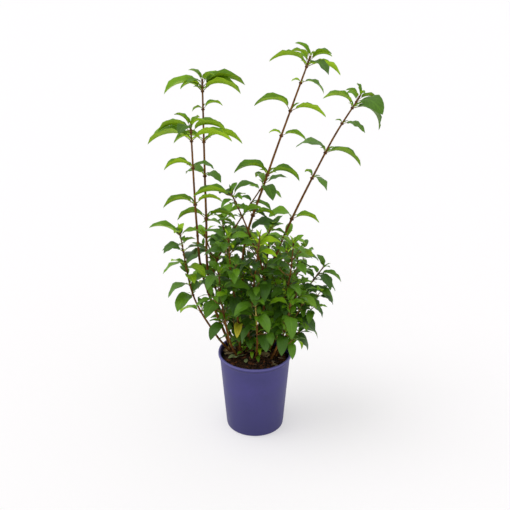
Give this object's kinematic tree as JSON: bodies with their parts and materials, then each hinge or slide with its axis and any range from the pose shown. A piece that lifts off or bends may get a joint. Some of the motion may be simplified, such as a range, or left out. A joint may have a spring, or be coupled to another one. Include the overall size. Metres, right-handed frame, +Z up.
{
  "type": "potted minuet lilac shrub",
  "caption": "Young flowering shrub in a tapered nursery pot, with tall woody stems, opposite leaves and a low bushy crown.",
  "frame": {"origin": "centre of the flat underside of the pot, on the ground", "axes": "+Z up, +X to the right and -Y towards the viewer as the plant stands in the picture"},
  "size_m": [0.5729, 0.3491, 1.0173],
  "materials": {
    "pot_plastic": "matte, faintly mottled moulded plastic",
    "potting_bark": "rough, damp, crumbly",
    "cane_bark": "smooth young bark with swollen nodes",
    "leaf": "soft satin leaf with sunk veins"
  },
  "bodies": {
    "root": {"pot": "pot_plastic", "soil": "potting_bark", "stem_left_front_tall": "cane_bark", "stem_left_back_tall": "cane_bark", "stem_centre_tall": "cane_bark", "stem_right_tall": "cane_bark", "stem_left_outer": "cane_bark", "stem_centre_front": "cane_bark", "stem_centre_back": "cane_bark", "stem_centre_young": "cane_bark", "stem_right_front": "cane_bark", "stem_right_outer": "cane_bark", "stem_left_middle": "cane_bark", "stem_left_low": "cane_bark", "stem_right_low": "cane_bark", "stem_front_low": "cane_bark", "stem_back_middle": "cane_bark", "stem_back_left": "cane_bark", "stem_back_right": "cane_bark", "stem_front_left": "cane_bark", "stem_right_middle": "cane_bark", "stem_right_side": "cane_bark", "stem_left_inner": "cane_bark", "foliage_left_front_tall": "leaf", "foliage_left_back_tall": "leaf", "foliage_centre_tall": "leaf", "foliage_right_tall": "leaf", "foliage_left_outer": "leaf", "foliage_centre_front": "leaf", "foliage_centre_back": "leaf", "foliage_centre_young": "leaf", "foliage_right_front": "leaf", "foliage_right_outer": "leaf", "foliage_left_middle": "leaf", "foliage_left_low": "leaf", "foliage_right_low": "leaf", "foliage_front_low": "leaf", "foliage_back_middle": "leaf", "foliage_back_left": "leaf", "foliage_back_right": "leaf", "foliage_front_left": "leaf", "foliage_right_middle": "leaf", "foliage_right_side": "leaf", "foliage_left_inner": "leaf"}
  },
  "joints": []
}
